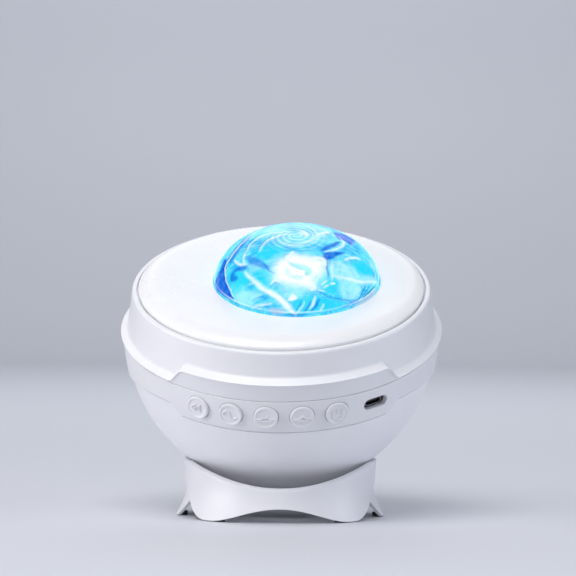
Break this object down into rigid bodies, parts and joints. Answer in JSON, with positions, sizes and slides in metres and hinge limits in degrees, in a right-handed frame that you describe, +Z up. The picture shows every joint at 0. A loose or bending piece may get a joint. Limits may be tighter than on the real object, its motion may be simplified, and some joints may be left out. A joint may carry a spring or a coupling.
{
  "type": "star projector",
  "caption": "Bowl-shaped star and nebula projector with a glowing blue dome, front buttons and a geared ripple disc, leaning in a low petal stand.",
  "frame": {"origin": "on the table, on the upright axis of the stand", "axes": "+Z up, -Y the front with the buttons, +X to the right seen from the front"},
  "size_m": [0.1565, 0.1512, 0.1431],
  "materials": {
    "shell_white": "satin",
    "cover_white": "satin",
    "stand_white": "satin",
    "button_white": "satin",
    "dome_blue": "polished",
    "lens_clear": "polished",
    "rubber": "matt",
    "silicone": "matt",
    "black_plastic": "matt",
    "white_plastic": "matt",
    "aluminium": "satin",
    "steel": "satin",
    "brass": "satin",
    "board_green": "satin",
    "cone_paper": "matt"
  },
  "bodies": {
    "stand": {"stand_skirt": "stand_white", "foot_pad_1": "rubber", "foot_pad_2": "rubber", "foot_pad_3": "rubber", "foot_pad_4": "rubber", "leg_pad_1": "rubber", "leg_pad_2": "rubber"},
    "seat": {"seat_cup": "silicone"},
    "head": {"lower_bowl": "shell_white", "control_band": "shell_white", "upper_shell": "shell_white", "top_cover": "cover_white", "dome_lens": "dome_blue", "usb_inlet": "black_plastic", "dome_retainer": "white_plastic", "light_funnel": "white_plastic", "control_board": "board_green", "chassis": "black_plastic", "heat_sink": "aluminium", "led_board": "white_plastic", "led_lens_1": "lens_clear", "led_lens_2": "lens_clear", "led_lens_3": "lens_clear", "led_lens_4": "lens_clear", "laser_module": "brass", "optics_tube": "black_plastic", "drive_motor": "steel", "main_board": "board_green", "speaker_basket": "steel", "speaker_cone": "cone_paper", "case_screw_1": "steel", "case_screw_2": "steel", "case_screw_3": "steel", "case_screw_4": "steel"},
    "button_1": {"button_1": "button_white"},
    "button_2": {"button_2": "button_white"},
    "button_3": {"button_3": "button_white"},
    "button_4": {"button_4": "button_white"},
    "button_5": {"button_5": "button_white"},
    "ripple_disc": {"ripple_disc": "lens_clear", "star_grating": "lens_clear"},
    "motor_pinion": {"motor_pinion": "brass"}
  },
  "joints": [
    {"name": "head_swivel", "type": "hinge", "parent": "stand", "child": "seat", "pos_m": [0, 0, 0.0885], "axis": [0, 0, 1], "continuous": true},
    {"name": "head_tilt", "type": "hinge", "parent": "seat", "child": "head", "pos_m": [0, 0, 0.0885], "axis": [1, 0, 0], "range_deg": [-60, 10]},
    {"name": "button_1_press", "type": "slide", "parent": "head", "child": "button_1", "axis": [0.5, 0.7824, 0.3713], "range_m": [0, 0.0005], "stiffness_N_per_m": 800},
    {"name": "button_2_press", "type": "slide", "parent": "head", "child": "button_2", "axis": [0.3007, 0.8625, 0.4069], "range_m": [0, 0.0005], "stiffness_N_per_m": 800},
    {"name": "button_3_press", "type": "slide", "parent": "head", "child": "button_3", "axis": [0.0872, 0.9018, 0.4233], "range_m": [0, 0.0005], "stiffness_N_per_m": 800},
    {"name": "button_4_press", "type": "slide", "parent": "head", "child": "button_4", "axis": [-0.1305, 0.8983, 0.4195], "range_m": [0, 0.0005], "stiffness_N_per_m": 800},
    {"name": "button_5_press", "type": "slide", "parent": "head", "child": "button_5", "axis": [-0.342, 0.8522, 0.3959], "range_m": [0, 0.0005], "stiffness_N_per_m": 800},
    {"name": "disc_spin", "type": "hinge", "parent": "head", "child": "ripple_disc", "pos_m": [0.00732, -0.00774, 0.10129], "axis": [-0.0087, -0.4242, 0.9055], "continuous": true},
    {"name": "pinion_spin", "type": "hinge", "parent": "head", "child": "motor_pinion", "pos_m": [-0.03603, -0.00874, 0.1004], "axis": [-0.0087, -0.4242, 0.9055], "continuous": true}
  ],
  "couplings": [
    {"joint": "pinion_spin", "follows": "disc_spin", "ratio": -5}
  ]
}
